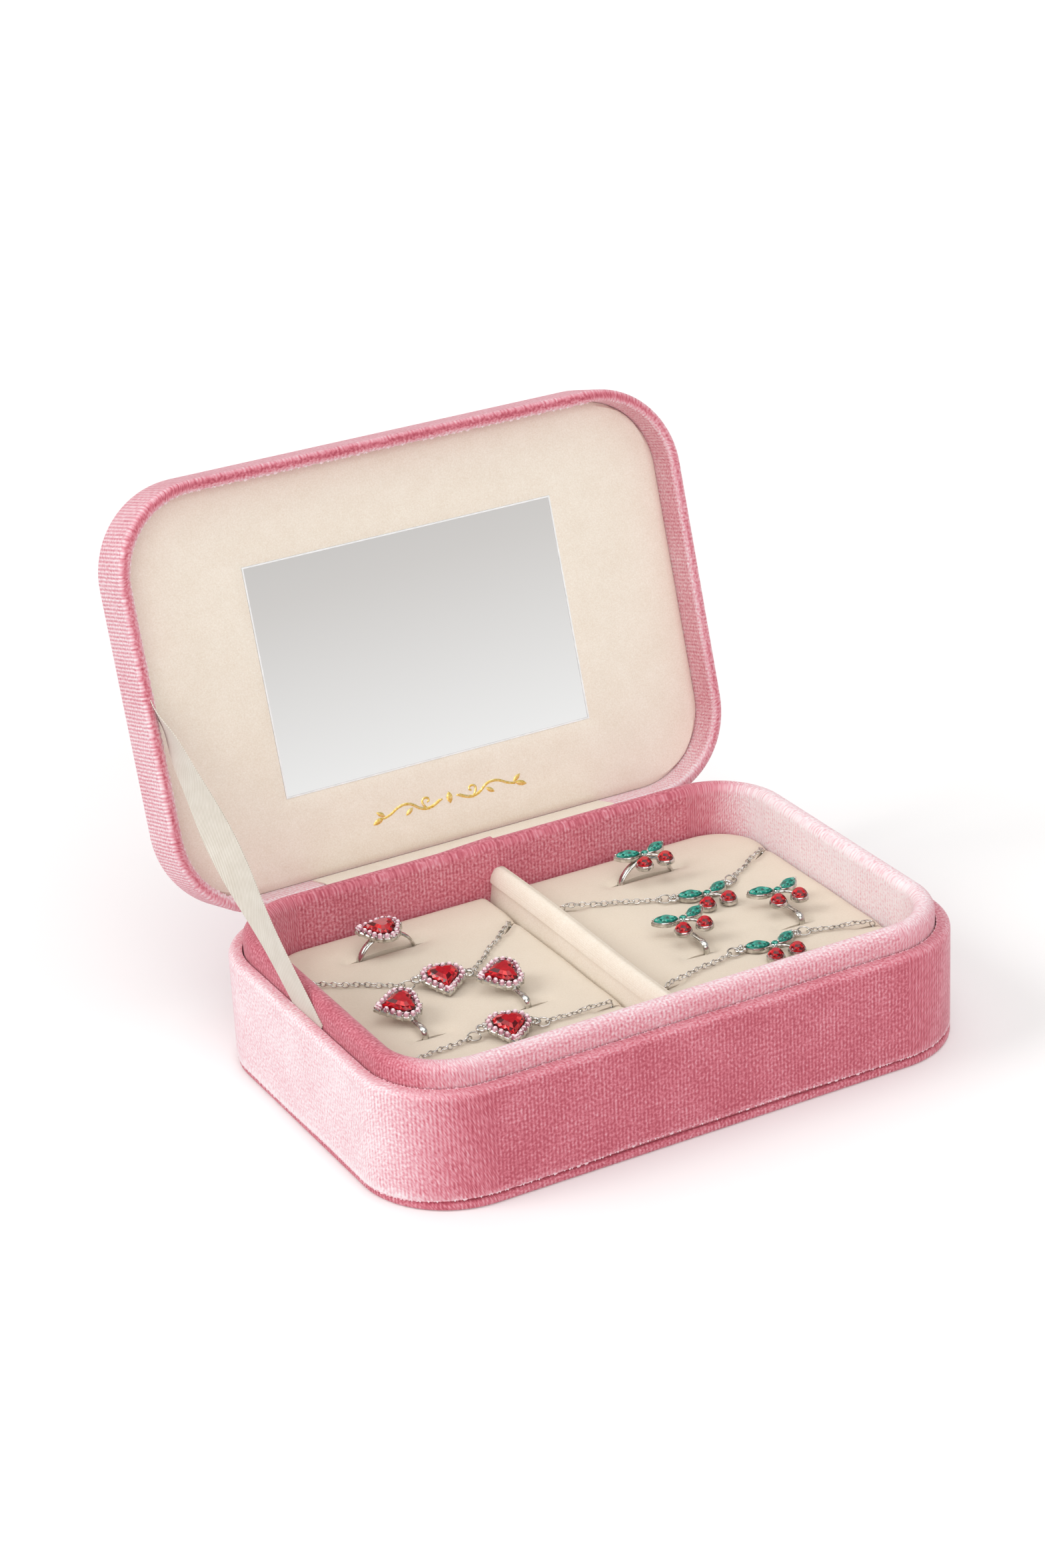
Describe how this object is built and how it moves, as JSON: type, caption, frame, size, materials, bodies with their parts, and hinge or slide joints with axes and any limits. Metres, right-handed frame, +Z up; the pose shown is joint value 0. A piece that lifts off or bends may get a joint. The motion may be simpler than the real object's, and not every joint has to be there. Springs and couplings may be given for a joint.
{
  "type": "jewelry box",
  "caption": "Velvet jewelry box with rounded corners: a hinged lid with a mirror inside, held open by a ribbon, and slit pads that hold heart and cherry jewelry.",
  "frame": {"origin": "middle of the underside of the box", "axes": "+X to the right as the open box is used, +Y to the hinge at the back, +Z up"},
  "size_m": [0.17, 0.1704, 0.1412],
  "materials": {
    "velvet": "ribbed pink velvet",
    "suede": "matt cream cloth",
    "satin": "cream satin",
    "board": "plain fibreboard",
    "foam": "soft foam",
    "mirror": "polished",
    "silver": "polished silver plate",
    "red_stone": "cut glass",
    "green_stone": "cut glass",
    "pink_crystal": "cut glass"
  },
  "bodies": {
    "base": {"base_board": "board", "base_board_cover": "velvet", "collar": "board", "collar_cover": "velvet", "divider_core": "board", "divider_cover": "suede", "hinge_band": "velvet", "hinge_strip": "suede", "left_pad_cover": "suede", "left_pad_foam": "foam", "outer_wall": "board", "outer_wall_cover": "velvet", "ribbon_stay": "satin", "right_pad_cover": "suede", "right_pad_foam": "foam"},
    "lid": {"lid_wall": "board", "lid_top_board": "board", "lid_cover": "velvet", "lid_foam": "foam", "lid_panel_card": "board", "lid_panel_cover": "suede", "mirror": "mirror"},
    "heart_ring": {"heart_ring_band": "silver", "heart_ring_halo": "pink_crystal", "heart_ring_stone": "red_stone"},
    "heart_earring_left": {"heart_earring_left_clip": "silver", "heart_earring_left_halo": "pink_crystal", "heart_earring_left_stone": "red_stone"},
    "heart_earring_right": {"heart_earring_right_clip": "silver", "heart_earring_right_halo": "pink_crystal", "heart_earring_right_stone": "red_stone"},
    "heart_necklace": {"heart_necklace_chain": "silver", "heart_necklace_halo": "pink_crystal", "heart_necklace_setting": "silver", "heart_necklace_stone": "red_stone"},
    "heart_bracelet": {"heart_bracelet_chain": "silver", "heart_bracelet_halo": "pink_crystal", "heart_bracelet_setting": "silver", "heart_bracelet_stone": "red_stone"},
    "cherry_ring": {"cherry_ring_band": "silver", "cherry_ring_leaves": "green_stone", "cherry_ring_stones": "red_stone"},
    "cherry_earring_left": {"cherry_earring_left_clip": "silver", "cherry_earring_left_leaves": "green_stone", "cherry_earring_left_stones": "red_stone"},
    "cherry_earring_right": {"cherry_earring_right_clip": "silver", "cherry_earring_right_leaves": "green_stone", "cherry_earring_right_stones": "red_stone"},
    "cherry_necklace": {"cherry_necklace_chain": "silver", "cherry_necklace_leaves": "green_stone", "cherry_necklace_setting": "silver", "cherry_necklace_stones": "red_stone"},
    "cherry_bracelet": {"cherry_bracelet_chain": "silver", "cherry_bracelet_leaves": "green_stone", "cherry_bracelet_setting": "silver", "cherry_bracelet_stones": "red_stone"}
  },
  "joints": [
    {"name": "lid_hinge", "type": "hinge", "parent": "base", "child": "lid", "pos_m": [0, 0.0595, 0.029], "axis": [-1, 0, 0], "range_deg": [-106, 0], "deforming": ["ribbon_stay", "hinge_strip", "hinge_band"]},
    {"name": "heart_ring_lift", "type": "slide", "parent": "base", "child": "heart_ring", "axis": [0, 0, 1], "range_m": [0, 0.03]},
    {"name": "heart_earring_left_lift", "type": "slide", "parent": "base", "child": "heart_earring_left", "axis": [0, 0, 1], "range_m": [0, 0.022]},
    {"name": "heart_earring_right_lift", "type": "slide", "parent": "base", "child": "heart_earring_right", "axis": [0, 0, 1], "range_m": [0, 0.022]},
    {"name": "heart_necklace_lift", "type": "slide", "parent": "base", "child": "heart_necklace", "axis": [0, 0, 1], "range_m": [0, 0.02]},
    {"name": "heart_bracelet_lift", "type": "slide", "parent": "base", "child": "heart_bracelet", "axis": [0, 0, 1], "range_m": [0, 0.02]},
    {"name": "cherry_ring_lift", "type": "slide", "parent": "base", "child": "cherry_ring", "axis": [0, 0, 1], "range_m": [0, 0.03]},
    {"name": "cherry_earring_left_lift", "type": "slide", "parent": "base", "child": "cherry_earring_left", "axis": [0, 0, 1], "range_m": [0, 0.022]},
    {"name": "cherry_earring_right_lift", "type": "slide", "parent": "base", "child": "cherry_earring_right", "axis": [0, 0, 1], "range_m": [0, 0.022]},
    {"name": "cherry_necklace_lift", "type": "slide", "parent": "base", "child": "cherry_necklace", "axis": [0, 0, 1], "range_m": [0, 0.02]},
    {"name": "cherry_bracelet_lift", "type": "slide", "parent": "base", "child": "cherry_bracelet", "axis": [0, 0, 1], "range_m": [0, 0.02]}
  ]
}
